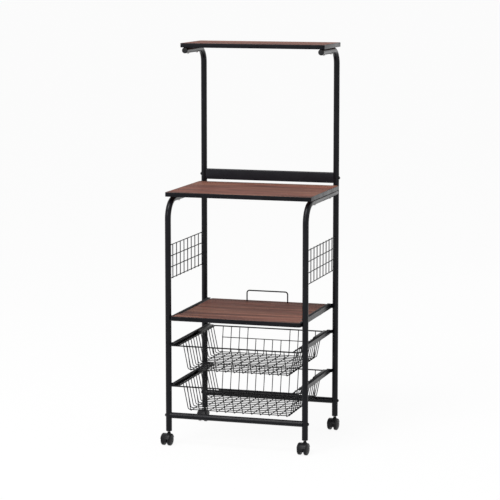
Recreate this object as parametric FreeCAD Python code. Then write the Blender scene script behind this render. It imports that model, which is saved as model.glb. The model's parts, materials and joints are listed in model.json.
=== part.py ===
import FreeCAD, Part
import os
from math import cos, degrees, pi, radians, sin, tan

V = FreeCAD.Vector

# A tall kitchen cart on four twin-wheel casters. Two bent-tube side frames carry a top shelf,
# a main shelf, a pull-out tray and two pull-out wire baskets. Millimetres: X to the right,
# Y to the back, Z up from the floor.

# Side frames
post_spacing_x = 520.0
post_spacing_y = 423.0
tube_diameter = 22.2
tube_wall = 1.2
post_foot_z = 51.5
front_bend_radius = 70.0
arm_bend_radius = 54.0
arm_front_setback = 11.4
arm_cap_thickness = 3.0

# Fixed shelves
board_thickness = 16.0
edging_thickness = 2.0
shelf_corner_radius = 8.0
main_shelf_top_z = 934.0
main_shelf_side_overhang = 16.0
main_shelf_front_setback = 10.5
main_shelf_post_gap = 0.5
top_shelf_top_z = 1467.0
top_shelf_side_overhang = 15.0
top_shelf_depth = 239.0
top_shelf_rear_overhang = 2.0

# Cross bars between the side frames
lower_bar_z = 110.5
back_bar_lift = 7.5
back_bar_height = 40.0
back_bar_thickness = 14.0
back_bar_corner_radius = 4.0

# Wire grids between the posts of each side
grid_wire_diameter = 3.6
grid_low_z = 616.5
grid_height = 123.0
grid_rows = 4
grid_columns = 9

# Channel rails of the baskets and of the tray
rail_post_gap = 4.75
rail_width = 12.0
rail_sheet = 1.5
rail_corner_radius = 1.5
rail_end_turn = radians(65.0)
rail_end_radius_share = 2.2
basket_rail_height = 16.0
tray_rail_height = 20.0
tray_rail_lift = 80.5

# Slide blocks that run in the rails
runner_length = 150.0
runner_end_gap = 6.0
runner_play = 0.35
runner_side_play = 2.0

# Wire baskets
rim_wire_diameter = 5.0
net_wire_diameter = 3.2
net_bend_radius = 8.0
weld_gap = 0.02
rim_rail_rise = 6.0
rim_rail_side_gap = 11.5
rim_ear_reach = 24.0
rim_rear_bar_overrun = 4.0
basket_front_overhang = 5.75
basket_rear_overhang = 0.5
basket_height = 94.5
basket_spacing = 150.5
basket_bar_gap = 3.75
basket_front_taper = 42.0
basket_rear_taper = 22.0
basket_side_taper = 23.0
lengthwise_count = 12
upper_low_count = 4
lengthwise_side_inset = 11.5
crosswise_count = 13
crosswise_front_inset = 7.0
crosswise_rear_inset = 10.0
back_wire_drop_share = 0.42
wire_end_overrun = 1.5

# Pull-out tray
tray_thickness = 16.0
tray_board_drop = 2.5
tray_rail_side_gap = 2.5
tray_front_overhang = 8.75
tray_post_gap = 1.5
tray_stop_gap = 2.0
tray_lip_setback = 56.0
tray_rear_setback = 7.5
tray_front_corner_radius = 12.0
tray_rear_corner_radius = 10.0
backstop_wire_diameter = 5.0
backstop_width = 161.5
backstop_height = 41.0
backstop_bend_radius = 10.0
backstop_rear_inset = 21.0
backstop_foot_depth_share = 0.65
backstop_hole_clearance = 0.05

# Twin-wheel casters, which trail forwards and a little to the left
wheel_diameter = 42.0
wheel_width = 12.5
wheel_tread_width = 7.0
wheel_cap_diameter = 16.0
wheel_side_gap = 0.5
caster_trail = 15.5
caster_yaw = radians(8.0)
hood_web = 15.0
hood_wheel_gap = 1.2
hood_wall = 1.8
hood_fender_reach = 9.5
neck_diameter = 11.0
neck_gap = 2.5
axle_diameter = 6.0
axle_reach = 10.5
axle_clearance = 0.05
stem_diameter = 8.0
stem_reach = 26.0
stem_clearance = 0.05
stem_end_gap = 0.4
foot_roof = 4.0

# Flat sides of round pieces, straight steps in their bends and in rounded corners, and the wheel sides,
# counted up from the axle's level, where the hood's web and fender start
tube_sides = 24
tube_bend_steps = 7
wire_sides = 6
wire_bend_steps = 1
corner_steps = 4
pin_sides = 10
wheel_sides = 24
web_first_side = -1
fender_first_side = 1

# Every cut runs this far past the piece that it cuts
cut_overrun = 1.0

# Places that follow from the sizes above
tube_radius = tube_diameter / 2
bore_radius = tube_radius - tube_wall
half_x = post_spacing_x / 2
post_centre_y = caster_trail * cos(caster_yaw)
front_y = post_centre_y - post_spacing_y / 2
rear_y = post_centre_y + post_spacing_y / 2
side_tube_z = main_shelf_top_z - board_thickness - tube_radius
arm_z = top_shelf_top_z - board_thickness - tube_radius
top_rear_y = rear_y + top_shelf_rear_overhang
top_front_y = top_rear_y - top_shelf_depth
arm_end_y = top_front_y + arm_front_setback + arm_cap_thickness
back_bar_z = main_shelf_top_z + back_bar_lift + back_bar_height / 2
rail_outer_x = half_x - tube_radius - rail_post_gap
rail_lip_x = rail_outer_x - rail_width
rail_end_radius = rail_post_gap * rail_end_radius_share
rail_front_y = front_y + rail_end_radius * sin(rail_end_turn)
rail_rear_y = rear_y - rail_end_radius * sin(rail_end_turn)
flat_share = cos(pi / wire_sides)
rim_radius = rim_wire_diameter / 2
net_radius = net_wire_diameter / 2
net_flat = net_radius * flat_share
rim_side_x = rail_lip_x - rim_rail_side_gap - rim_radius
rim_front_y = front_y - tube_radius - basket_front_overhang
rim_rear_y = rear_y + basket_rear_overhang
lower_floor_z = lower_bar_z + tube_radius + basket_bar_gap + net_flat * 3 + weld_gap
lower_rim_z = lower_floor_z + basket_height
upper_rim_z = lower_rim_z + basket_spacing
upper_rail_top_z = upper_rim_z - rim_rail_rise + basket_rail_height
tray_rail_z = upper_rail_top_z + tray_rail_lift
tray_top_z = tray_rail_z + tray_rail_height - tray_board_drop
tray_bottom_z = tray_top_z - tray_thickness
tray_rear_y = rear_y - tray_rear_setback
tray_half_width = rail_lip_x - tray_rail_side_gap
tray_lip_y = front_y + tray_lip_setback
wheel_radius = wheel_diameter / 2
neck_top_z = post_foot_z - neck_gap
stem_top_z = post_foot_z + stem_reach
sides = {"left": -1, "right": 1}


def rod(start, end, radius):
    """A round rod between two points."""
    run = end - start
    return Part.makeCylinder(radius, run.Length, start, run)


def box(low, high):
    """A block between two opposite corners."""
    size = high - low
    return Part.makeBox(size.x, size.y, size.z, low)


def mirrored(shape, side):
    """A shape modelled on the right, kept there or mirrored to the left."""
    return shape if side > 0 else shape.mirror(V(0, 0, 0), V(1, 0, 0))


def arc_points(before, corner, after, radius, steps):
    """Points on the arc that rounds a corner of a path, or the corner alone where it stays sharp."""
    if radius == 0:
        return [corner]
    back = (before - corner).normalize()
    ahead = (after - corner).normalize()
    turn = pi - back.getAngle(ahead)
    centre = corner + (back + ahead).normalize() * (radius / cos(turn / 2))
    start = corner + back * (radius * tan(turn / 2))
    spins = [FreeCAD.Rotation(ahead.cross(back), degrees(turn * step / steps)) for step in range(steps + 1)]
    return [centre + spin.multVec(start - centre) for spin in spins]


def outline_face(corners, radii):
    """A level face at zero height, each corner rounded by its own radius or left sharp."""
    points = []
    for index, radius in enumerate(radii):
        after = corners[(index + 1) % len(corners)]
        points += arc_points(corners[index - 1], corners[index], after, radius, corner_steps)
    return Part.Face(Part.makePolygon(points + points[:1]))


def rounded_rectangle(x_half, y_front, y_rear, radius):
    """A level rectangle with four equal corner radii."""
    corners = [V(-x_half, y_front, 0), V(x_half, y_front, 0), V(x_half, y_rear, 0), V(-x_half, y_rear, 0)]
    return outline_face(corners, [radius] * len(corners))


def ringed_solid(rings):
    """A solid of flat faces through a row of rings that have equally many points."""
    faces = [Part.Face(Part.makePolygon(ring + ring[:1])) for ring in (rings[0], rings[-1])]
    for ring, following in zip(rings, rings[1:]):
        for index in range(len(ring)):
            after = (index + 1) % len(ring)
            loop = [ring[index], ring[after], following[after], following[index], ring[index]]
            faces.append(Part.Face(Part.makePolygon(loop)))
    solid = Part.Solid(Part.Shell(faces))
    if solid.Volume < 0:
        solid.reverse()
    return solid


def flat_sided_rod(points, side_axis, radius, side_count, bend_radius=0, bend_steps=1):
    """A rod with flat sides along a path that turns about one axis."""
    path = [points[0]]
    for before, corner, after in zip(points, points[1:], points[2:]):
        path += arc_points(before, corner, after, bend_radius, bend_steps)
    path.append(points[-1])
    runs = [(after - before).normalize() for before, after in zip(path, path[1:])]
    angles = [2 * pi * index / side_count for index in range(side_count)]
    rings = []
    for point, entering, leaving in zip(path, runs[:1] + runs, runs + runs[-1:]):
        across = (entering + leaving).normalize().cross(side_axis)
        across *= radius / cos(entering.getAngle(leaving) / 2)
        rings.append([point + side_axis * (radius * cos(a)) + across * sin(a) for a in angles])
    return ringed_solid(rings)


def tube_rod(points, side_axis, radius, bend_radius=0):
    """A rod with as many sides as the frame's tubes."""
    return flat_sided_rod(points, side_axis, radius, tube_sides, bend_radius, tube_bend_steps)


def thin_wire(points, side_axis, radius, bend_radius=0):
    """A wire with a few flat sides."""
    return flat_sided_rod(points, side_axis, radius, wire_sides, bend_radius, wire_bend_steps)


def write(name, *solids):
    """One node: a single solid, or a group of like solids."""
    shape = solids[0] if len(solids) == 1 else Part.makeCompound(list(solids))
    shape.exportStep(os.path.join("parts", name + ".step"))


os.makedirs("parts", exist_ok=True)


def bent_tube(foot, corner, end, bend_radius):
    """A frame tube with one bend, bored along both straight runs, its closed foot bored for a stem."""
    bend = arc_points(foot, corner, end, bend_radius, tube_bend_steps)
    tube = tube_rod([foot, corner, end], V(1, 0, 0), tube_radius, bend_radius)
    stem_hole = rod(foot, V(foot.x, foot.y, stem_top_z + stem_end_gap), stem_diameter / 2 + stem_clearance)
    bore_start = V(foot.x, foot.y, stem_top_z + foot_roof)
    bores = [tube_rod(ends, V(1, 0, 0), bore_radius) for ends in ([bore_start, bend[0]], [bend[-1], end])]
    return tube.cut([stem_hole] + bores)


def post_space(side, y):
    """The space that a straight post fills, for ends that seat on it."""
    return tube_rod([V(side * half_x, y, 0), V(side * half_x, y, top_shelf_top_z)], V(1, 0, 0), tube_radius)


def front_post(side):
    """Rises from its caster, bends back under the main shelf and ends on the rear post."""
    x = side * half_x
    tube = bent_tube(V(x, front_y, post_foot_z), V(x, front_y, side_tube_z), V(x, rear_y, side_tube_z),
                     front_bend_radius)
    return tube.cut(post_space(side, rear_y))


def rear_post(side):
    """Rises from its caster to the top and bends forward as one arm of the top shelf."""
    x = side * half_x
    return bent_tube(V(x, rear_y, post_foot_z), V(x, rear_y, arm_z), V(x, arm_end_y, arm_z),
                     arm_bend_radius)


def arm_cap(side):
    """A flat cap on the open end of a top arm."""
    end = V(side * half_x, arm_end_y, arm_z)
    return tube_rod([end - V(0, arm_cap_thickness, 0), end], V(1, 0, 0), tube_radius)


for name, side in sides.items():
    write(name + "_front_post", front_post(side))
    write(name + "_rear_post", rear_post(side))
write("arm_end_caps", *[arm_cap(side) for side in sides.values()])


def write_shelf(name, half_width, shelf_front_y, shelf_rear_y, top_z):
    """A shelf board and the edging band around it."""
    solids = []
    for inset in (0, edging_thickness):
        face = rounded_rectangle(half_width - inset, shelf_front_y + inset, shelf_rear_y - inset,
                                 shelf_corner_radius - inset)
        face.translate(V(0, 0, top_z - board_thickness))
        solids.append(face.extrude(V(0, 0, board_thickness)))
    whole, core = solids
    write(name, core)
    write(name + "_edging", whole.cut(core))


write_shelf("main_shelf", half_x + main_shelf_side_overhang, front_y + main_shelf_front_setback,
            rear_y - tube_radius - main_shelf_post_gap, main_shelf_top_z)
write_shelf("top_shelf", half_x + top_shelf_side_overhang, top_front_y, top_rear_y, top_shelf_top_z)


def round_bar(y):
    """A round tube from post to post, its ends shaped to the posts."""
    ends = [V(-half_x, y, lower_bar_z), V(half_x, y, lower_bar_z)]
    whole, hollow = [tube_rod(ends, V(0, 0, 1), radius) for radius in (tube_radius, bore_radius)]
    return whole.cut([hollow] + [post_space(side, y) for side in sides.values()])


def flat_bar():
    """A flat rectangular tube from post to post behind the main shelf."""
    solids = []
    for inset in (0, tube_wall):
        y_half = back_bar_thickness / 2 - inset
        z_half = back_bar_height / 2 - inset
        face = rounded_rectangle(z_half, -y_half, y_half, back_bar_corner_radius - inset)
        face.rotate(V(0, 0, 0), V(0, 1, 0), 90)
        face.translate(V(-half_x, rear_y, back_bar_z))
        solids.append(face.extrude(V(post_spacing_x, 0, 0)))
    whole, hollow = solids
    return whole.cut([hollow] + [post_space(side, rear_y) for side in sides.values()])


write("front_lower_bar", round_bar(front_y))
write("rear_lower_bar", round_bar(rear_y))
write("back_bar", flat_bar())


def side_grid(side):
    """Level wires from post to post, with upright wires welded on their inner side."""
    radius = grid_wire_diameter / 2
    x = side * half_x
    wires = []
    for row in range(grid_rows):
        z = grid_low_z + grid_height * row / (grid_rows - 1)
        ends = [V(x, front_y + tube_radius, z), V(x, rear_y - tube_radius, z)]
        wires.append(thin_wire(ends, V(0, 0, 1), radius))
    upright_x = x - side * (2 * radius * flat_share + weld_gap)
    for column in range(grid_columns):
        y = front_y + post_spacing_y * (column + 1) / (grid_columns + 1)
        ends = [V(upright_x, y, grid_low_z - radius), V(upright_x, y, grid_low_z + grid_height + radius)]
        wires.append(thin_wire(ends, V(0, 1, 0), radius))
    return wires


for name, side in sides.items():
    write(name + "_side_grid", *side_grid(side))


def rail_channel(height, bottom_z):
    """The straight C channel on the right, open towards the middle of the cart."""
    low, high = -bottom_z, -bottom_z - height
    inner_x = rail_outer_x - rail_sheet
    corners = [V(rail_lip_x, low, 0), V(rail_outer_x, low, 0), V(rail_outer_x, high, 0),
               V(rail_lip_x, high, 0), V(rail_lip_x, high + rail_sheet, 0), V(inner_x, high + rail_sheet, 0),
               V(inner_x, low - rail_sheet, 0), V(rail_lip_x, low - rail_sheet, 0)]
    face = outline_face(corners, [0, rail_corner_radius, rail_corner_radius, 0, 0, 0, 0, 0])
    face.rotate(V(0, 0, 0), V(1, 0, 0), -90)
    face.translate(V(0, rail_front_y, 0))
    return face.extrude(V(0, rail_rear_y - rail_front_y, 0))


def rail_tab(end_y, turn, height, bottom_z):
    """The rail's web past the ends of its lips, curved outwards on to the post."""
    inner_x = rail_outer_x - rail_sheet
    low_z = bottom_z + rail_corner_radius
    high_z = bottom_z + height - rail_corner_radius
    section = [V(inner_x, end_y, low_z), V(rail_outer_x, end_y, low_z), V(rail_outer_x, end_y, high_z),
               V(inner_x, end_y, high_z)]
    pivot = V(rail_outer_x + rail_end_radius, end_y, 0)
    rings = []
    for step in range(corner_steps + 1):
        spin = FreeCAD.Rotation(V(0, 0, 1), degrees(turn * step / corner_steps))
        rings.append([pivot + spin.multVec(point - pivot) for point in section])
    return ringed_solid(rings)


def rail(side, height, bottom_z, lip_y):
    """A channel whose web is curved out to both posts of its side. Its lips may start further back."""
    tabs = [rail_tab(rail_front_y, rail_end_turn, height, bottom_z),
            rail_tab(rail_rear_y, -rail_end_turn, height, bottom_z)]
    cuts = [post_space(1, front_y), post_space(1, rear_y)]
    if lip_y > rail_front_y:
        cuts.append(box(V(rail_lip_x - cut_overrun, rail_front_y - cut_overrun, bottom_z - cut_overrun),
                        V(rail_outer_x - rail_sheet, lip_y, bottom_z + height + cut_overrun)))
    return mirrored(rail_channel(height, bottom_z).fuse(tabs).cut(cuts), side)


rails = {"tray": (tray_rail_height, tray_rail_z, tray_lip_y),
         "upper": (basket_rail_height, upper_rim_z - rim_rail_rise, rail_front_y),
         "lower": (basket_rail_height, lower_rim_z - rim_rail_rise, rail_front_y)}
for name, side in sides.items():
    for rail_name, measures in rails.items():
        write(name + "_" + rail_name + "_rail", rail(side, *measures))


def runner(inner_x, rail_name):
    """A slide block on the right, from the piece that it carries to near the rail's web."""
    height, bottom_z, lip_y = rails[rail_name]
    gap = rail_sheet + runner_play
    rear = rail_rear_y - runner_end_gap
    return box(V(inner_x, rear - runner_length, bottom_z + gap),
               V(rail_outer_x - rail_sheet - runner_side_play, rear, bottom_z + height - gap))


def basket_rim(rim_z):
    """Front and rear bars joined by two side bars. The front bar's ends stand out as ears."""
    front_x = rim_side_x + rim_ear_reach
    rear_x = rim_side_x + rim_rear_bar_overrun
    bars = [thin_wire([V(-x, y, rim_z), V(x, y, rim_z)], V(0, 0, 1), rim_radius)
            for x, y in ((front_x, rim_front_y), (rear_x, rim_rear_y))]
    return bars[0].fuse(bars[1:] + [rim_side_bar(side, rim_z) for side in sides.values()])


def rim_side_bar(side, rim_z):
    """One side bar of a basket's rim."""
    x = side * rim_side_x
    return thin_wire([V(x, rim_front_y, rim_z), V(x, rim_rear_y, rim_z)], V(0, 0, 1), rim_radius)


weld_step = rim_radius * flat_share + net_flat + weld_gap
lengthwise_drop = basket_height + 2 * net_flat + weld_gap
floor_front_y = rim_front_y + basket_front_taper
floor_rear_y = rim_rear_y - basket_rear_taper
floor_side_x = rim_side_x - basket_side_taper


def lengthwise_wires(rim_z, low_count):
    """Wires from the front bar down, along the floor and up the back, the middle ones perhaps less high."""
    floor_z = rim_z - lengthwise_drop
    top_z = rim_z + wire_end_overrun
    reach = floor_side_x - lengthwise_side_inset
    first_low = (lengthwise_count - low_count) / 2
    wires = []
    for index in range(lengthwise_count):
        x = reach * (2 * index / (lengthwise_count - 1) - 1)
        rear_foot = V(x, floor_rear_y, floor_z)
        rear_end = V(x, rim_rear_y - weld_step, top_z)
        if first_low <= index < first_low + low_count:
            rear_end = rear_end + (rear_foot - rear_end) * back_wire_drop_share
        points = [V(x, rim_front_y + weld_step, top_z), V(x, floor_front_y, floor_z), rear_foot, rear_end]
        wires.append(thin_wire(points, V(1, 0, 0), net_radius, net_bend_radius))
    return wires


def crosswise_wires(rim_z):
    """Wires from one side bar down, across over the lengthwise wires and up to the other."""
    floor_z = rim_z - basket_height
    top_z = rim_z + wire_end_overrun
    top_x = rim_side_x - weld_step
    first_y = floor_front_y + crosswise_front_inset
    last_y = floor_rear_y - crosswise_rear_inset
    wires = []
    for index in range(crosswise_count):
        y = first_y + (last_y - first_y) * index / (crosswise_count - 1)
        points = [V(-top_x, y, top_z), V(-floor_side_x, y, floor_z),
                  V(floor_side_x, y, floor_z), V(top_x, y, top_z)]
        wires.append(thin_wire(points, V(0, 1, 0), net_radius, net_bend_radius))
    return wires


def back_wire(rim_z):
    """A level wire behind the rear wall's upright wires, just under the ends of the low ones."""
    rear_top = V(0, rim_rear_y - weld_step, rim_z + wire_end_overrun)
    wall = V(0, floor_rear_y, rim_z - lengthwise_drop) - rear_top
    lean = wall.getAngle(V(0, 0, -1))
    centre = rear_top + wall * (back_wire_drop_share + wire_end_overrun / wall.Length)
    flat_half_height = net_radius * sin(pi / wire_sides)
    centre += V(0, net_flat / cos(lean) + flat_half_height * tan(lean) + net_flat + weld_gap, 0)
    reach = V(floor_side_x - lengthwise_side_inset + net_wire_diameter, 0, 0)
    return thin_wire([centre - reach, centre + reach], V(0, 0, 1), net_radius)


def write_basket(name, rail_name, rim_z, low_count):
    """One basket: rim, both sets of wires and two clipped slide blocks."""
    write(name + "_rim", basket_rim(rim_z))
    write(name + "_lengthwise_wires", *lengthwise_wires(rim_z, low_count))
    write(name + "_crosswise_wires", *crosswise_wires(rim_z))
    block = runner(rim_side_x, rail_name).cut(rim_side_bar(1, rim_z))
    write(name + "_runners", *[mirrored(block, side) for side in sides.values()])


write_basket("upper_basket", "upper", upper_rim_z, upper_low_count)
write("upper_basket_back_wire", back_wire(upper_rim_z))
write_basket("lower_basket", "lower", lower_rim_z, 0)


def tray_slab(inset):
    """The tray's outline as a slab: wide ahead of the posts, then between the rails' webs, then their lips."""
    front = front_y - tube_radius - tray_front_overhang + inset
    shoulder = front_y - rail_sheet * sin(rail_end_turn) - tray_stop_gap - inset
    step = tray_lip_y - tray_stop_gap - inset
    rear = tray_rear_y - inset
    wide = half_x - tube_radius - tray_post_gap - inset
    middle = rail_outer_x - rail_sheet - tray_rail_side_gap - inset
    narrow = tray_half_width - inset
    right = [V(wide, front, 0), V(wide, shoulder, 0), V(middle, shoulder, 0), V(middle, step, 0),
             V(narrow, step, 0), V(narrow, rear, 0)]
    left = [V(-corner.x, corner.y, 0) for corner in right[::-1]]
    radii = [tray_front_corner_radius - inset, 0, 0, 0, 0, tray_rear_corner_radius - inset]
    face = outline_face(right + left, radii + radii[::-1])
    face.translate(V(0, 0, tray_bottom_z))
    return face.extrude(V(0, 0, tray_thickness))


backstop_foot_z = tray_top_z - tray_thickness * backstop_foot_depth_share
backstop_y = tray_rear_y - backstop_rear_inset
backstop_x = backstop_width / 2


def backstop():
    """A low wire hoop that stands in two holes near the tray's rear edge."""
    bar_z = tray_top_z + backstop_height
    points = [V(-backstop_x, backstop_y, backstop_foot_z), V(-backstop_x, backstop_y, bar_z),
              V(backstop_x, backstop_y, bar_z), V(backstop_x, backstop_y, backstop_foot_z)]
    return thin_wire(points, V(0, 1, 0), backstop_wire_diameter / 2, backstop_bend_radius)


def backstop_hole(side):
    """A blind hole in the tray for one leg of the hoop."""
    foot = V(side * backstop_x, backstop_y, backstop_foot_z)
    mouth = V(foot.x, foot.y, tray_top_z + cut_overrun)
    return thin_wire([foot, mouth], V(0, 1, 0), backstop_wire_diameter / 2 + backstop_hole_clearance)


tray_core = tray_slab(edging_thickness)
write("tray_edging", tray_slab(0).cut(tray_core))
write("tray_board", tray_core.cut([backstop_hole(side) for side in sides.values()]))
write("tray_backstop", backstop())
write("tray_runners", *[mirrored(runner(tray_half_width, "tray"), side) for side in sides.values()])


axle_centre = V(0, -caster_trail, wheel_radius)


def wheel_arc(radius, first_side):
    """Points on a flat-sided arc over the axle, from one side counted up from the level to its twin."""
    corner_radius = radius / cos(pi / wheel_sides)
    angles = [2 * pi * side / wheel_sides for side in range(first_side, wheel_sides // 2 - first_side + 1)]
    return [axle_centre + V(0, cos(angle), sin(angle)) * corner_radius for angle in angles]


def across_wheels(loop, half_width):
    """A slab with the given side outline, centred on the middle of the caster."""
    face = Part.Face(Part.makePolygon(loop + loop[:1]))
    face.translate(V(-half_width, 0, 0))
    return face.extrude(V(2 * half_width, 0, 0))


def caster_hood():
    """A web between the wheels with a fender over them, and the axle, neck and stem as one piece."""
    fender_radius = wheel_radius + hood_wheel_gap + hood_wall
    half_web = hood_web / 2
    web = across_wheels(wheel_arc(fender_radius, web_first_side), half_web)
    outside = wheel_arc(fender_radius, fender_first_side)
    inside = wheel_arc(fender_radius - hood_wall, fender_first_side)
    fender = across_wheels(outside + inside[::-1], half_web + hood_fender_reach)
    half_axle = V(half_web + wheel_side_gap + axle_reach, 0, 0)
    axle_ends = [axle_centre - half_axle, axle_centre + half_axle]
    axle = flat_sided_rod(axle_ends, V(0, 0, 1), axle_diameter / 2, pin_sides)
    neck_ends = [V(0, 0, wheel_radius), V(0, 0, neck_top_z)]
    neck = flat_sided_rod(neck_ends, V(1, 0, 0), neck_diameter / 2, pin_sides)
    stem = rod(V(0, 0, neck_top_z), V(0, 0, stem_top_z), stem_diameter / 2)
    return web.fuse([fender, neck, stem, axle]).removeSplitter()


def caster_wheel(end):
    """A wheel with a tread, a sloping outer face and a blind bore from its inner side."""
    start = end * (hood_web / 2 + wheel_side_gap)
    rings = []
    cap_radius = wheel_cap_diameter / 2
    for along, radius in ((0, wheel_radius), (wheel_tread_width, wheel_radius), (wheel_width, cap_radius)):
        centre = axle_centre + V(start + end * along, 0, 0)
        angles = [2 * pi * (index + 1 / 2) / wheel_sides for index in range(wheel_sides)]
        corner_radius = radius / cos(pi / wheel_sides)
        rings.append([centre + V(0, sin(angle), -cos(angle)) * corner_radius for angle in angles])
    bore_start = axle_centre + V(start, 0, 0)
    bore_end = bore_start + V(end * (axle_reach + axle_clearance), 0, 0)
    return ringed_solid(rings).cut(rod(bore_start, bore_end, axle_diameter / 2 + axle_clearance))


def placed(shape, side, y):
    """A caster piece, modelled about its own swivel axis, turned and set under its post."""
    shape.rotate(V(0, 0, 0), V(0, 0, 1), -degrees(caster_yaw))
    shape.translate(V(side * half_x, y, 0))
    return shape


casters = {"front_left": (-1, front_y), "front_right": (1, front_y),
           "rear_left": (-1, rear_y), "rear_right": (1, rear_y)}
for name, place in casters.items():
    write(name + "_caster_hood", placed(caster_hood(), *place))
    write(name + "_left_wheel", placed(caster_wheel(-1), *place))
    write(name + "_right_wheel", placed(caster_wheel(1), *place))
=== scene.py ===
import json
import math

import bmesh
import bpy
from mathutils import Matrix, Vector


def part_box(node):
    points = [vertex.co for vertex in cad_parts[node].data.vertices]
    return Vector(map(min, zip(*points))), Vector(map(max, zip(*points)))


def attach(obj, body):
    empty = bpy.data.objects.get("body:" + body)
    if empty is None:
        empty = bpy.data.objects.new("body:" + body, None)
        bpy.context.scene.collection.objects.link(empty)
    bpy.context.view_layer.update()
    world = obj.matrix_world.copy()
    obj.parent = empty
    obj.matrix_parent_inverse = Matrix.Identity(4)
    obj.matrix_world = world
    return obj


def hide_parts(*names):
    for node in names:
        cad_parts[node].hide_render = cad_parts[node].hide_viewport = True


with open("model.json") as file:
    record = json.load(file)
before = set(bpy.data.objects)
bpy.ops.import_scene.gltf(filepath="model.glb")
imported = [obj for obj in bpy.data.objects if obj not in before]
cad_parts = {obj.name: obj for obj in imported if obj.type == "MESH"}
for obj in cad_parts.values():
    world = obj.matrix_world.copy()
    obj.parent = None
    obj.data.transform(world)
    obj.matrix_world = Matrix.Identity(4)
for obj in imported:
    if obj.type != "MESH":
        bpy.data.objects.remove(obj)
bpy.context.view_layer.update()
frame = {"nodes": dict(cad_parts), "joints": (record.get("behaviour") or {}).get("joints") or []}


# Side frames. Two bent steel tubes on each side: the front post turns back under the main shelf, and
# the rear post turns forward at the top as an arm. They are welded together and coated in black powder,
# which has a faint orange peel, and cloudy patches of more and less gloss.
def shader_nodes(name):
    """A new material with its node helper, its shader and the piece's own coordinates."""
    material = bpy.data.materials.new(name)
    material.use_nodes = True
    tree = material.node_tree
    shader = tree.nodes["Principled BSDF"]
    place = tree.nodes.new("ShaderNodeTexCoord").outputs["Object"]

    def add(kind, links=None, **settings):
        node = tree.nodes.new(kind)
        for key, value in settings.items():
            setattr(node, key, value)
        for socket, source in (links or {}).items():
            if isinstance(source, bpy.types.NodeSocket):
                tree.links.new(source, node.inputs[socket])
            else:
                node.inputs[socket].default_value = source
        return node

    def join(source, socket):
        tree.links.new(source, shader.inputs[socket])

    return material, shader, place, add, join


def spread(add, value, low, high):
    """A texture value, mostly between a third and two thirds, stretched to a range."""
    links = {"Value": value, "From Min": 0.3, "From Max": 0.7, "To Min": low, "To Max": high}
    return add("ShaderNodeMapRange", links).outputs["Result"]


def between(add, share, first, second):
    """A colour between two others, each written out or taken from a node."""
    colours = [c if isinstance(c, bpy.types.NodeSocket) else (*c, 1) for c in (first, second)]
    mix = add("ShaderNodeMix", {"Factor": share, "A": colours[0], "B": colours[1]}, data_type="RGBA")
    return mix.outputs["Result"]


def powder_coat(name, dark, light, rough, specular, dull_top=0.0):
    """Black powder coat: fine orange peel, cloudy gloss, a slight drift of the black, dull tops if asked."""
    material, shader, place, add, join = shader_nodes(name)
    peel = add("ShaderNodeTexNoise", {"Vector": place, "Scale": 850.0, "Detail": 2.0})
    cloud = add("ShaderNodeTexNoise", {"Vector": place, "Scale": 9.0, "Detail": 4.0})
    drift = add("ShaderNodeTexNoise", {"Vector": place, "Scale": 31.0, "Detail": 3.0})
    bump = add("ShaderNodeBump", {"Height": peel.outputs["Fac"], "Strength": 0.05, "Distance": 0.0002})
    join(bump.outputs["Normal"], "Normal")
    roughness = spread(add, cloud.outputs["Fac"], *rough)
    if dull_top:
        facing = add("ShaderNodeSeparateXYZ", {"Vector": add("ShaderNodeNewGeometry").outputs["Normal"]})
        dulling = add("ShaderNodeMapRange", {"Value": facing.outputs["Z"], "From Min": 0.6, "From Max": 0.95,
                                             "To Max": dull_top})
        roughness = add("ShaderNodeMath", {0: roughness, 1: dulling.outputs["Result"]}).outputs["Value"]
    join(roughness, "Roughness")
    join(between(add, spread(add, drift.outputs["Fac"], 0, 1), dark, light), "Base Color")
    shader.inputs["Specular IOR Level"].default_value = specular
    return material


def tree_inputs(tree, sockets):
    """Named inputs and one output on a geometry tree, and its two end nodes."""
    for label, kind in sockets.items():
        tree.interface.new_socket(label, in_out="INPUT", socket_type="NodeSocket" + kind)
    tree.interface.new_socket("Pieces", in_out="OUTPUT", socket_type="NodeSocketGeometry")
    return tree.nodes.new("NodeGroupInput"), tree.nodes.new("NodeGroupOutput")


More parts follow.
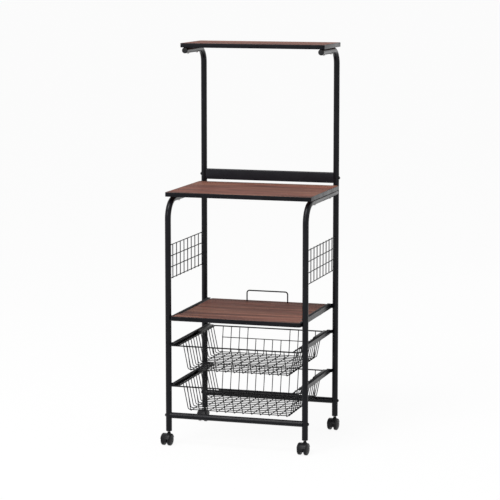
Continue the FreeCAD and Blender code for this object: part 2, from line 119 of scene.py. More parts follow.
def bent_rods_tree():
    """Straight paths become round rods with rounded bends and closed ends."""
    tree = bpy.data.node_groups.new("bent_rods", "GeometryNodeTree")
    start, end = tree_inputs(tree, {"Paths": "Geometry", "Rod radius": "Float", "Bend radius": "Float",
                                    "Bend steps": "Int", "Round sides": "Int", "Finish": "Material"})
    link = tree.links.new
    line = tree.nodes.new("GeometryNodeMeshToCurve")
    bend = tree.nodes.new("GeometryNodeFilletCurve")
    bend.mode = "POLY"
    bend.inputs["Limit Radius"].default_value = True
    ring = tree.nodes.new("GeometryNodeCurvePrimitiveCircle")
    sweep = tree.nodes.new("GeometryNodeCurveToMesh")
    sweep.inputs["Fill Caps"].default_value = True
    angle = tree.nodes.new("GeometryNodeInputMeshEdgeAngle")
    crisp_angle = math.radians(50)
    crisp = tree.nodes.new("FunctionNodeCompare")
    crisp.inputs["B"].default_value = crisp_angle
    smooth = tree.nodes.new("GeometryNodeSetShadeSmooth")
    sharpen = tree.nodes.new("GeometryNodeSetShadeSmooth")
    sharpen.domain = "EDGE"
    sharpen.inputs["Shade Smooth"].default_value = False
    realize = tree.nodes.new("GeometryNodeRealizeInstances")
    paint = tree.nodes.new("GeometryNodeSetMaterial")
    link(start.outputs["Paths"], line.inputs["Mesh"])
    link(line.outputs["Curve"], bend.inputs["Curve"])
    link(start.outputs["Bend radius"], bend.inputs["Radius"])
    link(start.outputs["Bend steps"], bend.inputs["Count"])
    link(start.outputs["Round sides"], ring.inputs["Resolution"])
    link(start.outputs["Rod radius"], ring.inputs["Radius"])
    link(bend.outputs["Curve"], sweep.inputs["Curve"])
    link(ring.outputs["Curve"], sweep.inputs["Profile Curve"])
    link(sweep.outputs["Mesh"], smooth.inputs["Geometry"])
    link(smooth.outputs["Geometry"], sharpen.inputs["Geometry"])
    link(angle.outputs["Unsigned Angle"], crisp.inputs["A"])
    link(crisp.outputs["Result"], sharpen.inputs["Selection"])
    link(sharpen.outputs["Geometry"], realize.inputs["Geometry"])
    link(realize.outputs["Geometry"], paint.inputs["Geometry"])
    link(start.outputs["Finish"], paint.inputs["Material"])
    link(paint.outputs["Geometry"], end.inputs["Pieces"])
    return tree


bent_rods = bent_rods_tree()


def grown(name, source_mesh, tree, inputs):
    """A plain mesh piece made by a geometry tree from a source mesh."""
    source = bpy.data.objects.new(name + "_source", source_mesh)
    bpy.context.scene.collection.objects.link(source)
    modifier = source.modifiers.new("grow", "NODES")
    modifier.node_group = tree
    sockets = {item.name: item.identifier for item in tree.interface.items_tree if item.in_out == "INPUT"}
    for label, value in inputs.items():
        modifier[sockets[label]] = value
    evaluated = source.evaluated_get(bpy.context.evaluated_depsgraph_get())
    piece = bpy.data.objects.new(name, bpy.data.meshes.new_from_object(evaluated))
    bpy.data.objects.remove(source)
    bpy.context.scene.collection.objects.link(piece)
    return piece


def fixed(piece, body, slot, *stands_for):
    """Ties a piece to the body that carries it."""
    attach(piece, body)
    if stands_for:
        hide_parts(*stands_for)
    return piece


def rods(name, paths, radius, round_sides, finish, bend_radius=0.0, bend_steps=1):
    """Round rods along straight paths, bent where a path turns."""
    mesh = bpy.data.meshes.new(name + "_paths")
    points, edges = [], []
    for path in paths:
        first = len(points)
        points += path
        edges += [(first + i, first + i + 1) for i in range(len(path) - 1)]
    mesh.from_pydata(points, edges, [])
    inputs = {"Rod radius": radius, "Bend radius": bend_radius, "Bend steps": bend_steps,
              "Round sides": round_sides, "Finish": finish}
    return grown(name, mesh, bent_rods, inputs)


frame_black = powder_coat("frame_black", dark=(0.0036, 0.0038, 0.0054), light=(0.0062, 0.0064, 0.0086),
                          rough=(0.20, 0.32), specular=0.16)
sides = (("left", -1), ("right", 1))
front_bend = 0.070
arm_bend = 0.054
tube_sides = 40
tube_bend_steps = 18
seat_share = 0.6

post_low, post_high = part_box("right_front_post")
tube_radius = (post_high.x - post_low.x) / 2
post_x = post_high.x - tube_radius
front_y = post_low.y + tube_radius
foot_z = post_low.z
side_tube_z = post_high.z - tube_radius
arm_low, arm_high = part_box("right_rear_post")
rear_y = arm_high.y - tube_radius
arm_z = arm_high.z - tube_radius
arm_end_y = arm_low.y
seat_depth = tube_radius * seat_share

for side, sign in sides:
    x = sign * post_x
    post = [(x, front_y, foot_z), (x, front_y, side_tube_z), (x, rear_y - seat_depth, side_tube_z)]
    piece = rods(side + "_front_tube", [post], tube_radius, tube_sides, frame_black,
                 front_bend, tube_bend_steps)
    fixed(piece, "frame", "tube", side + "_front_post")
    post = [(x, rear_y, foot_z), (x, rear_y, arm_z), (x, arm_end_y, arm_z)]
    piece = rods(side + "_rear_tube", [post], tube_radius, tube_sides, frame_black,
                 arm_bend, tube_bend_steps)
    fixed(piece, "frame", "tube", side + "_rear_post")


# Cross bars. Two lengths of the same tube near the floor and one flat tube behind the main shelf tie
# the side frames together. A black dome-head bolt goes through the post into each of their ends.
def skin(name, forms, finish, ring=False, crisp=math.radians(35)):
    """One mesh piece of closed forms. A form is a row of loops, capped at its ends or joined into a ring."""
    points, faces = [], []
    for loops in forms:
        count = len(loops[0])
        first = len(points)
        points += [point for loop in loops for point in loop]
        for row in range(len(loops) - (0 if ring else 1)):
            here = first + row * count
            there = first + (row + 1) % len(loops) * count
            for i in range(count):
                after = (i + 1) % count
                faces.append((here + i, here + after, there + after, there + i))
        if not ring:
            faces += [range(first, first + count), range(len(points) - count, len(points))]
    mesh = bpy.data.meshes.new(name)
    mesh.from_pydata(points, [], faces)
    turned_out = bmesh.new()
    turned_out.from_mesh(mesh)
    bmesh.ops.recalc_face_normals(turned_out, faces=turned_out.faces)
    turned_out.to_mesh(mesh)
    turned_out.free()
    mesh.shade_smooth()
    mesh.set_sharp_from_angle(angle=crisp)
    mesh.materials.append(finish)
    piece = bpy.data.objects.new(name, mesh)
    bpy.context.scene.collection.objects.link(piece)
    return piece


def rounded(corners, radii, steps):
    """The points of a flat outline, each corner rounded by its own radius or left sharp."""
    points = []
    for index, radius in enumerate(radii):
        corner = Vector(corners[index])
        back = (Vector(corners[index - 1]) - corner).normalized()
        ahead = (Vector(corners[(index + 1) % len(corners)]) - corner).normalized()
        if radius == 0:
            points.append(corner)
            continue
        half = (math.pi - back.angle(ahead)) / 2
        centre = corner + (back + ahead).normalized() * (radius / math.cos(half))
        spoke = corner + back * (radius * math.tan(half)) - centre
        turn = 2 * half * (1 if back.cross(ahead) < 0 else -1)
        for step in range(steps + 1):
            points.append(centre + Matrix.Rotation(turn * step / steps, 2) @ spoke)
    return points


def turned(profile, centre, axis, around):
    """The loops of a turned form: steps along an axis, each with its own radius."""
    axis = Vector(axis).normalized()
    across = axis.orthogonal().normalized()
    other = axis.cross(across)
    spokes = [2 * math.pi * i / around for i in range(around)]
    loops = []
    for along, radius in profile:
        middle = Vector(centre) + axis * along
        loops.append([middle + (across * math.cos(a) + other * math.sin(a)) * radius for a in spokes])
    return loops


def set_heads_tree():
    """One screw head on each point, turned to face one way and spun by chance."""
    tree = bpy.data.node_groups.new("set_heads", "GeometryNodeTree")
    start, end = tree_inputs(tree, {"Places": "Geometry", "Head": "Object", "Facing": "Vector",
                                    "Seed": "Int", "Finish": "Material"})
    link = tree.links.new
    head = tree.nodes.new("GeometryNodeObjectInfo")
    head.inputs["As Instance"].default_value = True
    spin = tree.nodes.new("FunctionNodeRandomValue")
    spin.data_type = "FLOAT_VECTOR"
    spin.inputs[1].default_value = (0, 0, 2 * math.pi)
    spun = tree.nodes.new("FunctionNodeEulerToRotation")
    face = tree.nodes.new("FunctionNodeAlignRotationToVector")
    face.axis = "Z"
    both = tree.nodes.new("FunctionNodeRotateRotation")
    both.rotation_space = "LOCAL"
    put = tree.nodes.new("GeometryNodeInstanceOnPoints")
    realize = tree.nodes.new("GeometryNodeRealizeInstances")
    paint = tree.nodes.new("GeometryNodeSetMaterial")
    link(start.outputs["Head"], head.inputs["Object"])
    link(start.outputs["Seed"], spin.inputs["Seed"])
    link(start.outputs["Facing"], face.inputs["Vector"])
    link(spin.outputs["Value"], spun.inputs["Euler"])
    link(face.outputs["Rotation"], both.inputs["Rotation"])
    link(spun.outputs["Rotation"], both.inputs["Rotate By"])
    link(start.outputs["Places"], put.inputs["Points"])
    link(head.outputs["Geometry"], put.inputs["Instance"])
    link(both.outputs["Rotation"], put.inputs["Rotation"])
    link(put.outputs["Instances"], realize.inputs["Geometry"])
    link(realize.outputs["Geometry"], paint.inputs["Geometry"])
    link(start.outputs["Finish"], paint.inputs["Material"])
    link(paint.outputs["Geometry"], end.inputs["Pieces"])
    return tree


set_heads = set_heads_tree()


head_around = 48
head_root_share = 0.9
head_shares = ((0, 1), (0.2, 1), (0.62, 0.86), (0.9, 0.62))
recess_shares = ((1, 1), (0.45, 0.92))
recess_share, lobe_share = 0.34, 0.09


def screw_head(name, radius, height, root, lobes, finish):
    """A domed head with a lobed recess, let into its seat: six lobes for a key, four for a cross driver."""
    profile = [(-root, radius * head_root_share)]
    profile += [(height * rise, radius * width) for rise, width in head_shares]
    loops = turned(profile, (0, 0, 0), (0, 0, 1), head_around)
    for rise, width in recess_shares:
        recess = []
        for i in range(head_around):
            a = 2 * math.pi * i / head_around
            reach = radius * width * (recess_share + lobe_share * math.cos(lobes * a))
            recess.append(Vector((reach * math.cos(a), reach * math.sin(a), height * rise)))
        loops.append(recess)
    return skin(name, [loops], finish)


def heads(name, head, points, facing, seed, finish, body):
    """A set of screw heads that ride on one body."""
    mesh = bpy.data.meshes.new(name + "_places")
    mesh.from_pydata(points, [], [])
    piece = grown(name, mesh, set_heads, {"Head": head, "Facing": facing, "Seed": seed, "Finish": finish})
    return fixed(piece, body, "tube")


bar_z = sum(corner.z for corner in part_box("front_lower_bar")) / 2
for place, y in (("front", front_y), ("rear", rear_y)):
    reach = post_x - seat_depth
    path = [(-reach, y, bar_z), (reach, y, bar_z)]
    piece = rods(place + "_bar", [path], tube_radius, tube_sides, frame_black)
    fixed(piece, "frame", "tube", place + "_lower_bar")

low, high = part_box("back_bar")
back_bar_corner = 0.004
back_bar_steps = 8
corners = [(low.y, low.z), (high.y, low.z), (high.y, high.z), (low.y, high.z)]
section = rounded(corners, [back_bar_corner] * 4, back_bar_steps)
loops = [[(x, point.x, point.y) for point in section] for x in (seat_depth - post_x, post_x - seat_depth)]
# The back bar has the frame's powder coat, but its black is painted lighter: painted light for the dark
# shelf and shade that the bar reflects.
bar_black_painted_light = powder_coat("bar_black_painted_light", dark=(0.0090, 0.0090, 0.0125), light=(0.0130, 0.0130, 0.0170),
                        rough=(0.24, 0.36), specular=0.16)
fixed(skin("flat_back_bar", [loops], bar_black_painted_light), "frame", "tube", "back_bar")

bolt_radius = 0.0060
bolt_height = 0.0044
bolt_root = 0.0022
bolt_sink = 0.0006
bolt_lobes = 6
bolt_seed = 3
bolt = screw_head("bolt_head", bolt_radius, bolt_height, bolt_root, bolt_lobes, frame_black)
back_bar_z = (low.z + high.z) / 2
for side, sign in sides:
    x = sign * (post_x + tube_radius - bolt_sink)
    places = [(x, front_y, bar_z), (x, rear_y, bar_z), (x, rear_y, back_bar_z)]
    heads(side + "_frame_bolts", bolt, places, (sign, 0, 0), bolt_seed, frame_black, "frame")
bpy.data.objects.remove(bolt)


# Shelf boards. Particle board faced with a printed walnut laminate, its grain along the width. The print
# has broad brown bands, thin dark streaks and short pores, under a low sheen. Zinc-plated pan-head screws
# come up through the tubes and arms into the two fixed shelves.
def walnut_laminate():
    """Dark walnut print: bands, streaks and pores that run along X."""
    material, shader, place, add, join = shader_nodes("walnut_laminate")
    bands_place = add("ShaderNodeMapping", {"Vector": place, "Scale": (1.1, 13.0, 13.0)}).outputs["Vector"]
    bands = add("ShaderNodeTexNoise", {"Vector": bands_place, "Scale": 1.6, "Detail": 5.0,
                                       "Roughness": 0.62, "Distortion": 1.1})
    streak_place = add("ShaderNodeMapping", {"Vector": place, "Scale": (2.2, 95.0, 95.0)}).outputs["Vector"]
    streaks = add("ShaderNodeTexNoise", {"Vector": streak_place, "Scale": 1.5, "Detail": 6.0,
                                         "Roughness": 0.7, "Distortion": 0.5})
    pore_place = add("ShaderNodeMapping", {"Vector": place, "Scale": (38.0, 900.0, 900.0)}).outputs["Vector"]
    pores = add("ShaderNodeTexNoise", {"Vector": pore_place, "Scale": 1.0, "Detail": 2.0})
    tone_place = add("ShaderNodeMapping", {"Vector": place, "Scale": (0.8, 9.0, 9.0)}).outputs["Vector"]
    tones = add("ShaderNodeTexNoise", {"Vector": tone_place, "Scale": 1.4, "Detail": 3.0, "Distortion": 0.6})
    red_brown, tan_brown = (0.340, 0.130, 0.092), (0.375, 0.186, 0.122)
    band_brown, streak_brown = (0.110, 0.046, 0.036), (0.074, 0.033, 0.029)
    pore_brown = (0.030, 0.011, 0.009)
    bright = between(add, spread(add, tones.outputs["Fac"], -0.3, 1.3), red_brown, tan_brown)
    banded = between(add, spread(add, bands.outputs["Fac"], -0.3, 1.3), band_brown, bright)
    streaked = between(add, spread(add, streaks.outputs["Fac"], 0.0, 0.78), banded, streak_brown)
    pore_share = add("ShaderNodeMapRange", {"Value": pores.outputs["Fac"], "From Min": 0.60,
                                            "From Max": 0.72, "To Max": 0.55}).outputs["Result"]
    join(between(add, pore_share, streaked, pore_brown), "Base Color")
    join(spread(add, streaks.outputs["Fac"], 0.52, 0.68), "Roughness")
    bump = add("ShaderNodeBump", {"Height": pore_share, "Strength": 0.15, "Distance": 0.0002}, invert=True)
    join(bump.outputs["Normal"], "Normal")
    shader.inputs["Specular IOR Level"].default_value = 0.04
    return material


walnut = walnut_laminate()
edging_depth = 0.002
corner_steps = 10


def shelf_outline(low, high, radius):
    """A plain shelf's outline, set in by any distance."""
    def outline(inset):
        corners = [(low.x + inset, low.y + inset), (high.x - inset, low.y + inset),
                   (high.x - inset, high.y - inset), (low.x + inset, high.y - inset)]
        return rounded(corners, [radius - inset] * 4, corner_steps)
    return outline


def tray_outline(low, high, widths, steps, radii):
    """The tray's outline: wide ahead of the posts, then narrower in two steps behind them."""
    def outline(inset):
        wide, middle, narrow = [width - inset for width in widths]
        shoulder, step = [y - inset for y in steps]
        right = [(wide, low.y + inset), (wide, shoulder), (middle, shoulder), (middle, step), (narrow, step),
                 (narrow, high.y - inset)]
        left = [(-x, y) for x, y in right[::-1]]
        soft = [radii[0] - inset, 0, 0, 0, 0, radii[1] - inset]
        return rounded(right + left, soft + soft[::-1], corner_steps)
    return outline


shelf_corner = 0.008
tray_corners = (0.012, 0.010)
tray_rail_gap = 0.0025
rail_web_depth = 0.0105
tray_shoulder_ahead = 0.00336
tray_step_behind = 0.054
tray_steps = (front_y - tray_shoulder_ahead, front_y + tray_step_behind)
outlines = {}
for node in ("main_shelf", "top_shelf"):
    outlines[node] = shelf_outline(*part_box(node + "_edging"), shelf_corner)
low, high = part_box("tray_edging")
between_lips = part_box("right_tray_rail")[0].x - tray_rail_gap
tray_widths = (high.x, between_lips + rail_web_depth, between_lips)
outlines["tray_board"] = tray_outline(low, high, tray_widths, tray_steps, tray_corners)
for node, outline in outlines.items():
    low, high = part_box(node)
    loops = [[(point.x, point.y, z) for point in outline(edging_depth)] for z in (low.z, high.z)]
    fixed(skin(node + "_panel", [loops], walnut), "tray" if node == "tray_board" else "frame", "board", node)


def plated_steel():
    """Zinc plate: bright, with fine rub marks and cloudy patches."""
    material, shader, place, add, join = shader_nodes("plated_steel")
    cloud = add("ShaderNodeTexNoise", {"Vector": place, "Scale": 160.0, "Detail": 3.0})
    rub = add("ShaderNodeTexNoise", {"Vector": place, "Scale": 2400.0, "Detail": 2.0})
    join(between(add, cloud.outputs["Fac"], (0.52, 0.52, 0.52), (0.70, 0.70, 0.68)), "Base Color")
    join(spread(add, cloud.outputs["Fac"], 0.22, 0.40), "Roughness")
    bump = add("ShaderNodeBump", {"Height": rub.outputs["Fac"], "Strength": 0.1, "Distance": 0.0001})
    join(bump.outputs["Normal"], "Normal")
    shader.inputs["Metallic"].default_value = 1.0
    return material


zinc = plated_steel()
pan_radius = 0.0052
pan_height = 0.0036
pan_root = 0.0011
pan_sink = 0.0004
pan_lobes = 4
tube_screw_shares = (0.287, 0.786)
arm_screw_shares = (0.16, 0.62)
shelf_screw_seed = 7
pan = screw_head("pan_head", pan_radius, pan_height, pan_root, pan_lobes, zinc)
places = []
for x in (-post_x, post_x):
    for share in tube_screw_shares:
        places.append((x, front_y + (rear_y - front_y) * share, side_tube_z - tube_radius + pan_sink))
    for share in arm_screw_shares:
        places.append((x, arm_end_y + (rear_y - arm_end_y) * share, arm_z - tube_radius + pan_sink))
heads("shelf_screws", pan, places, (0, 0, -1), shelf_screw_seed, zinc, "frame")


# Edging. A thin band of black plastic with a satin grain, glued round each board after it is cut, trimmed
# flush with the board's faces and softened along its edges.
def band_plastic(name, dark, light, rough, specular):
    """Black plastic with a fine satin grain."""
    material, shader, place, add, join = shader_nodes(name)
    grain = add("ShaderNodeTexNoise", {"Vector": place, "Scale": 1400.0, "Detail": 3.0})
    rub = add("ShaderNodeTexNoise", {"Vector": place, "Scale": 24.0, "Detail": 4.0})
    bump = add("ShaderNodeBump", {"Height": grain.outputs["Fac"], "Strength": 0.04, "Distance": 0.0002})
    join(bump.outputs["Normal"], "Normal")
    join(spread(add, rub.outputs["Fac"], *rough), "Roughness")
    join(between(add, spread(add, rub.outputs["Fac"], 0, 1), dark, light), "Base Color")
    shader.inputs["Specular IOR Level"].default_value = specular
    return material


edge_black = band_plastic("edge_black", dark=(0.0050, 0.0050, 0.0066), light=(0.0082, 0.0082, 0.0104),
                          rough=(0.26, 0.38), specular=0.09)
edge_round = 0.0012
edge_steps = 4
for node, outline in outlines.items():
    edging = "tray_edging" if node == "tray_board" else node + "_edging"
    low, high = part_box(edging)
    rows = [(edging_depth, low.z)]
    for end_z, sign, steps in ((low.z, 1, range(edge_steps + 1)), (high.z, -1, range(edge_steps, -1, -1))):
        for step in steps:
            a = math.pi / 2 * step / edge_steps
            rows.append((edge_round * (1 - math.sin(a)), end_z + sign * edge_round * (1 - math.cos(a))))
    rows.append((edging_depth, high.z))
    loops = [[(point.x, point.y, z) for point in outline(inset)] for inset, z in rows]
    band = skin(edging + "_band", [loops], edge_black, ring=True)
    fixed(band, "tray" if node == "tray_board" else "frame", "edging", edging)


# Arm caps. Moulded black plastic caps with a slight dome, as wide as the tube, pushed into the open front
# ends of the two top arms.
cap_black = band_plastic("cap_black", dark=(0.0060, 0.0060, 0.0070), light=(0.0100, 0.0100, 0.0115),
                         rough=(0.30, 0.42), specular=0.25)
cap_shares = ((0, 1), (0.45, 1), (0.7, 0.965), (0.85, 0.88), (0.95, 0.6), (1, 0.2))
low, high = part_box("arm_end_caps")
cap_profile = [((high.y - low.y) * rise, tube_radius * width) for rise, width in cap_shares]
caps = [turned(cap_profile, (x, high.y, arm_z), (0, -1, 0), tube_sides) for x in (-post_x, post_x)]
fixed(skin("arm_caps", caps, cap_black), "frame", "cap", "arm_end_caps")


# Side grids. Thin steel wire: level wires from post to post, with upright wires spot-welded on their inner
# side, coated with the frame.
wire_black = powder_coat("wire_black", dark=(0.0036, 0.0038, 0.0048), light=(0.0062, 0.0064, 0.0078),
                         rough=(0.28, 0.40), specular=0.07)
grid_wire_radius = 0.0018
grid_rows = 4
grid_columns = 9
wire_sides = 10
for side, sign in sides:
    low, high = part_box(side + "_side_grid")
    x = sign * post_x
    upright_x = x - sign * 2 * grid_wire_radius
    paths = []
    for row in range(grid_rows):
        z = low.z + grid_wire_radius + (high.z - low.z - 2 * grid_wire_radius) * row / (grid_rows - 1)
        paths.append([(x, low.y, z), (x, high.y, z)])
    for column in range(grid_columns):
        y = front_y + (rear_y - front_y) * (column + 1) / (grid_columns + 1)
        paths.append([(upright_x, y, low.z), (upright_x, y, high.z)])
    piece = rods(side + "_grid_wires", paths, grid_wire_radius, wire_sides, wire_black)
    fixed(piece, "frame", "wire", side + "_side_grid")


# Rails. Channels folded from steel sheet, open inwards. The web of each runs on at both ends and bends out
# to the posts, where it is welded. They are coated with the frame, its black painted a little lighter as a
# painted sheen, and duller on the faces that look up. One pan-head screw shows under each.
# The rails' black is lighter than the frame's: a painted sheen for the light their webs reflect.
rail_black_painted_sheen = powder_coat("rail_black_painted_sheen", dark=(0.0060, 0.0062, 0.0078), light=(0.0095, 0.0098, 0.0120),
                         rough=(0.22, 0.32), specular=0.22, dull_top=0.6)
rail_screw_behind = 0.070
rail_screw_y = (front_y + rear_y) / 2 + rail_screw_behind
rail_screw_sink = 0.0003
rail_screw_seed = 11
rail_end_half = 0.0024
places = []
for side, sign in sides:
    for level in ("tray", "upper", "lower"):
        node = side + "_" + level + "_rail"
        mesh = frame["nodes"][node].data
        mesh.materials.clear()
        mesh.materials.append(rail_black_painted_sheen)
        low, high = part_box(node)
        x = (low.x + high.x) / 2 - sign * rail_end_half
        places.append((x, rail_screw_y, low.z + rail_screw_sink))
heads("rail_screws", pan, places, (0, 0, -1), rail_screw_seed, zinc, "frame")
bpy.data.objects.remove(pan)


# Slide blocks. Long blocks of black nylon with tapered noses, fixed to the sides of the tray and the
# baskets. They run inside the rails and carry the weight.
runner_black = band_plastic("runner_black", dark=(0.0080, 0.0080, 0.0090), light=(0.0140, 0.0140, 0.0150),
                            rough=(0.40, 0.55), specular=0.25)
runner_corner = 0.0016
runner_corner_steps = 4
runner_nose = 0.004
rim_ear_reach = 0.024
block_x = {"tray": between_lips}
for basket in ("upper_basket", "lower_basket"):
    block_x[basket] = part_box(basket + "_rim")[1].x - rim_ear_reach
for body, inner_x in block_x.items():
    low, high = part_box(body + "_runners")
    forms = []
    for sign in (-1, 1):
        loops = []
        for y, inset in ((low.y, 1), (low.y + runner_nose, 0), (high.y - runner_nose, 0), (high.y, 1)):
            slim = inset * runner_corner
            ends = [(inner_x, low.z + slim), (high.x - slim, low.z + slim), (high.x - slim, high.z - slim),
                    (inner_x, high.z - slim)]
            section = rounded(ends, [runner_corner] * 4, runner_corner_steps)
            loops.append([(sign * point.x, y, point.y) for point in section])
        forms.append(loops)
    fixed(skin(body + "_slide_blocks", forms, runner_black), body, "runner", body + "_runners")


# Tray stop. A low hoop of thicker black-coated wire. Its two legs are pressed into holes in the tray near
# the rear edge, so that nothing slides off behind.
low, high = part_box("tray_backstop")
stop_radius = (high.y - low.y) / 2
stop_y = (low.y + high.y) / 2
stop_bend = 0.010
stop_bend_steps = 10
stop_sides = 20
hoop = [(low.x + stop_radius, stop_y, low.z), (low.x + stop_radius, stop_y, high.z - stop_radius),
        (high.x - stop_radius, stop_y, high.z - stop_radius), (high.x - stop_radius, stop_y, low.z)]
piece = rods("tray_stop", [hoop], stop_radius, stop_sides, wire_black, stop_bend, stop_bend_steps)
fixed(piece, "tray", "wire", "tray_backstop")


# Wire baskets. A rim of thicker wire carries two sets of bent wires, crossed and spot-welded at the floor.
# The front bar runs past the corners as ears. In the upper basket the four middle wires stop low on the
# rear wall, at one more level wire.
rim_rear_overrun = 0.004
rim_sides = 16
net_radius = 0.0016
net_bend = 0.008
net_bend_steps = 6
basket_height = 0.0945
basket_front_taper = 0.042
basket_rear_taper = 0.022
basket_side_taper = 0.023
lengthwise_count = 12
crosswise_count = 13
low_counts = {"upper_basket": 4, "lower_basket": 0}
wire_end_overrun = 0.0015
back_wire_drop_share = 0.42
flat_share = math.cos(math.pi / 6)  # the frame's wires have six sides, and reach this share of their radius
for basket, low_count in low_counts.items():
    low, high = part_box(basket + "_rim")
    rim_radius = (high.z - low.z) / 2
    rim_z = (low.z + high.z) / 2
    rim_front = low.y + rim_radius * flat_share
    rim_rear = high.y - rim_radius * flat_share
    rim_side = high.x - rim_ear_reach
    floor_z = rim_z - basket_height
    under_z = floor_z - 2 * net_radius * flat_share
    top_z = rim_z + wire_end_overrun
    weld = (rim_radius + net_radius) * flat_share
    rear_x = rim_side + rim_rear_overrun
    paths = [[(-high.x, rim_front, rim_z), (high.x, rim_front, rim_z)],
             [(-rear_x, rim_rear, rim_z), (rear_x, rim_rear, rim_z)]]
    paths += [[(x, rim_front, rim_z), (x, rim_rear, rim_z)] for x in (-rim_side, rim_side)]
    piece = rods(basket + "_bars", paths, rim_radius, rim_sides, wire_black)
    fixed(piece, basket, "wire", basket + "_rim")

    low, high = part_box(basket + "_lengthwise_wires")
    reach = high.x - net_radius
    floor_front = rim_front + basket_front_taper
    floor_rear = rim_rear - basket_rear_taper
    paths = []
    for index in range(lengthwise_count):
        x = reach * (2 * index / (lengthwise_count - 1) - 1)
        rear_foot = Vector((x, floor_rear, under_z))
        rear_end = Vector((x, rim_rear - weld, top_z))
        if abs(index - (lengthwise_count - 1) / 2) < low_count / 2:
            rear_end = rear_end.lerp(rear_foot, back_wire_drop_share)
        paths.append([(x, rim_front + weld, top_z), (x, floor_front, under_z), rear_foot, rear_end])
    piece = rods(basket + "_long_net", paths, net_radius, wire_sides, wire_black, net_bend, net_bend_steps)
    fixed(piece, basket, "wire", basket + "_lengthwise_wires")

    low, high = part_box(basket + "_crosswise_wires")
    first_y = low.y + net_radius
    last_y = high.y - net_radius
    top_x = rim_side - weld
    floor_x = rim_side - basket_side_taper
    paths = []
    for index in range(crosswise_count):
        y = first_y + (last_y - first_y) * index / (crosswise_count - 1)
        paths.append([(-top_x, y, top_z), (-floor_x, y, floor_z), (floor_x, y, floor_z), (top_x, y, top_z)])
    piece = rods(basket + "_cross_net", paths, net_radius, wire_sides, wire_black, net_bend, net_bend_steps)
    fixed(piece, basket, "wire", basket + "_crosswise_wires")

low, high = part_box("upper_basket_back_wire")
middle = (low + high) / 2
level = [(low.x, middle.y, middle.z), (high.x, middle.y, middle.z)]
piece = rods("upper_basket_rear_wire", [level], net_radius, wire_sides, wire_black)
fixed(piece, "upper_basket", "wire", "upper_basket_back_wire")


# Casters. Moulded black nylon: two wheels with domed faces turn on one axle, with a web between them and a
# fender over them. The hood's neck turns on a zinc-plated steel stem in the foot of the post.
caster_black = band_plastic("caster_black", dark=(0.0045, 0.0045, 0.0056), light=(0.0085, 0.0085, 0.0100),
                            rough=(0.28, 0.42), specular=0.18)
half_web = 0.0075
wheel_side_gap = 0.0005
wheel_width = 0.0125
tread_end = 0.007
tread_round = 0.0012
tread_edge_shares = ((0, 1), (0.35, 0.3), (1, 0))
bore_radius = 0.004
hub_radius = 0.0082
hub_face_share = 0.45
groove = 0.0006
groove_shares = ((2, 1), (2, 2), (0.5, 2.6))
dome_steps = 8
wheel_around = 48
wheel_crisp = math.radians(40)
hood_reach = 0.003
hood_wall = 0.0018
hood_steps = 28
web_turn = math.radians(-15)
web_drop = 0.00009
fender_turn = math.radians(15)
fender_half = 0.017
fender_round = 0.0009
fender_edge_shares = ((0, 1), (0.3, 0.3), (1, 0))
neck_radius = 0.0055
neck_gap = 0.0025
neck_sink = 0.006
neck_around = 32
neck_shares = ((0, 1.5), (0.40, 1.36), (0.52, 1.16), (0.64, 1), (0.95, 1), (1, 0.9))
stem_radius = 0.004
stem_depth = 0.004
stem_flange = 0.0072
flange_shares = ((0.6, stem_radius), (0.65, stem_flange), (0.95, stem_flange), (0.98, stem_radius))


def wheel_profile(radius):
    """A wheel from its inner face over the tread and the domed outer face to the hub."""
    profile = [(0, bore_radius)]
    profile += [(tread_round * along, radius - tread_round * drop) for along, drop in tread_edge_shares]
    profile.append((tread_end, radius))
    dome = radius - hub_radius
    depth = wheel_width - groove - tread_end
    for step in range(1, dome_steps + 1):
        a = math.pi / 2 * step / dome_steps
        profile.append((tread_end + depth * math.sin(a), hub_radius + dome * math.cos(a)))
    profile += [(wheel_width - groove * along, hub_radius - groove * drop) for along, drop in groove_shares]
    profile.append((wheel_width, hub_radius * hub_face_share))
    return profile


def about_axle(axle, across, angle, radius, offset):
    """A point at an angle about a caster's axle, some way along it."""
    along = Vector((0, 0, 1)).cross(across)
    return axle + (along * math.cos(angle) + Vector((0, 0, math.sin(angle)))) * radius + across * offset


def arc(turn):
    """The steps of an arc over the wheels that begins and ends the same turn above the axle."""
    return [turn + (math.pi - 2 * turn) * step / hood_steps for step in range(hood_steps + 1)]


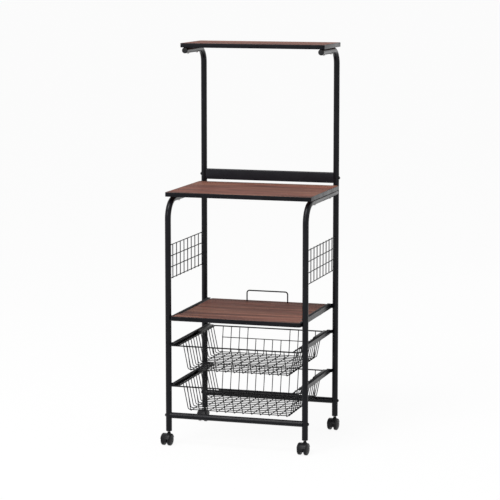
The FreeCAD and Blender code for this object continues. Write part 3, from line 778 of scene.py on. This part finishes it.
hinges = {joint["name"]: joint for joint in frame["joints"]}
for corner in ("front_left", "front_right", "rear_left", "rear_right"):
    swivel = Vector(hinges[corner + "_swivel"]["pos_m"])
    roll = hinges[corner + "_right_wheel_roll"]
    axle = Vector(roll["pos_m"])
    across = Vector(roll["axis"])
    wheel_radius = axle.z
    for side, sign in sides:
        inner_face = axle + across * sign * (half_web + wheel_side_gap)
        loops = turned(wheel_profile(wheel_radius), inner_face, across * sign, wheel_around)
        wheel = skin(corner + "_" + side + "_tread", [loops], caster_black, crisp=wheel_crisp)
        fixed(wheel, corner + "_" + side + "_wheel", "wheel", corner + "_" + side + "_wheel")

    hood_radius = wheel_radius + hood_reach
    web_rows = ((-half_web, fender_round), (fender_round - half_web, 0), (half_web - fender_round, 0),
                (half_web, fender_round))
    web = [[about_axle(axle, across, a, hood_radius - web_drop - inset, offset) for a in arc(web_turn)]
           for offset, inset in web_rows]
    edge = [(0, hood_radius - hood_wall)]
    edge += [(fender_round * along, hood_radius - fender_round * drop) for along, drop in fender_edge_shares]
    section = [(inset - fender_half, r) for inset, r in edge]
    section += [(fender_half - inset, r) for inset, r in edge[::-1]]
    fender = [[about_axle(axle, across, a, r, offset) for offset, r in section] for a in arc(fender_turn)]
    neck_foot = Vector((swivel.x, swivel.y, wheel_radius + hood_radius - neck_sink))
    neck_top = Vector((swivel.x, swivel.y, swivel.z - neck_gap))
    neck_height = neck_top.z - neck_foot.z
    neck_profile = [(neck_height * rise, neck_radius * width) for rise, width in neck_shares]
    neck = turned(neck_profile, neck_foot, (0, 0, 1), neck_around)
    hood = skin(corner + "_hood", [web, fender, neck], caster_black)
    fixed(hood, corner + "_caster", "hood", corner + "_caster_hood")
    stem_profile = [(-stem_depth, stem_radius)]
    stem_profile += [(neck_gap * rise, radius) for rise, radius in flange_shares]
    stem = turned(stem_profile, neck_top, (0, 0, 1), neck_around)
    fixed(skin(corner + "_stem", [stem], zinc), corner + "_caster", "hood")


# Studio. A pale floor that looks white to the camera and in reflections, and keeps the cart's shadow. Soft
# boxes light the cart from above, from the front and, faintly, from behind at the right. A long lens looks
# slightly down on it from where the photograph was taken.
floor_half = 150.0
floor_mesh = bpy.data.meshes.new("floor")
floor_mesh.from_pydata([(-floor_half, -floor_half, 0), (floor_half, -floor_half, 0),
                        (floor_half, floor_half, 0), (-floor_half, floor_half, 0)], [], [(0, 1, 2, 3)])
floor = bpy.data.objects.new("floor", floor_mesh)
bpy.context.scene.collection.objects.link(floor)


def seen_white(tree, lit, surface, white_share):
    """Whitens what the camera, reflections and clear things see, and leaves the light as it is."""
    rays = tree.nodes.new("ShaderNodeLightPath")
    seen = rays.outputs["Is Camera Ray"]
    for kind in ("Is Glossy Ray", "Is Transmission Ray"):
        either = tree.nodes.new("ShaderNodeMath")
        either.operation = "MAXIMUM"
        tree.links.new(seen, either.inputs[0])
        tree.links.new(rays.outputs[kind], either.inputs[1])
        seen = either.outputs[0]
    share = tree.nodes.new("ShaderNodeMath")
    share.operation = "MULTIPLY"
    share.inputs[1].default_value = white_share
    tree.links.new(seen, share.inputs[0])
    white = tree.nodes.new("ShaderNodeEmission")
    white.inputs["Color"].default_value = (1, 1, 1, 1)
    mix = tree.nodes.new("ShaderNodeMixShader")
    tree.links.new(share.outputs[0], mix.inputs[0])
    tree.links.new(lit, mix.inputs[1])
    tree.links.new(white.outputs["Emission"], mix.inputs[2])
    tree.links.new(mix.outputs[0], surface)


floor_white_share = 0.92
floor_paint = bpy.data.materials.new("floor_paint")
floor_paint.use_nodes = True
paint = floor_paint.node_tree.nodes["Principled BSDF"]
paint.inputs["Base Color"].default_value = (0.92, 0.92, 0.92, 1)
paint.inputs["Roughness"].default_value = 0.9
paint.inputs["Specular IOR Level"].default_value = 0
seen_white(floor_paint.node_tree, paint.outputs["BSDF"],
           floor_paint.node_tree.nodes["Material Output"].inputs["Surface"], floor_white_share)
floor_mesh.materials.append(floor_paint)

world_light = 0.64
world = bpy.data.worlds.new("studio")
bpy.context.scene.world = world
world.use_nodes = True
sky = world.node_tree.nodes["Background"]
sky.inputs["Color"].default_value = (1, 1, 1, 1)
sky.inputs["Strength"].default_value = world_light
seen_white(world.node_tree, sky.outputs["Background"],
           world.node_tree.nodes["World Output"].inputs["Surface"], 1)


def soft_light(name, place, target, size, power):
    """A square soft box aimed at a point."""
    lamp = bpy.data.lights.new(name, "AREA")
    lamp.size = size
    lamp.energy = power
    box = bpy.data.objects.new(name, lamp)
    box.location = place
    box.rotation_euler = (Vector(target) - Vector(place)).to_track_quat("-Z", "Y").to_euler()
    bpy.context.scene.collection.objects.link(box)


soft_light("key", place=(-0.8, -2.2, 4.6), target=(0, 0, 0.7), size=2.0, power=118)
soft_light("front", place=(-2.0, -5.6, 3.4), target=(0, 0, 0.8), size=2.0, power=85)
soft_light("side", place=(1.45, 4.4, 0.9), target=(0.25, 0, 0.9), size=1.6, power=6)

view_distance = 7.7647
view_height = 1.8181
view_azimuth = math.radians(16.962)
view_turn = math.radians(17.0507)
view_down = math.radians(8.1488)
view_centre_y = (front_y + rear_y) / 2
camera = bpy.data.cameras.new("camera")
camera.sensor_width = 36.0
camera.lens = 152.52
eye = bpy.data.objects.new("camera", camera)
eye.location = (view_distance * math.sin(view_azimuth),
                view_centre_y - view_distance * math.cos(view_azimuth), view_height)
eye.rotation_euler = (math.pi / 2 - view_down, 0, view_turn)
bpy.context.scene.collection.objects.link(eye)
bpy.context.scene.camera = eye
bpy.context.scene.view_settings.view_transform = "Standard"
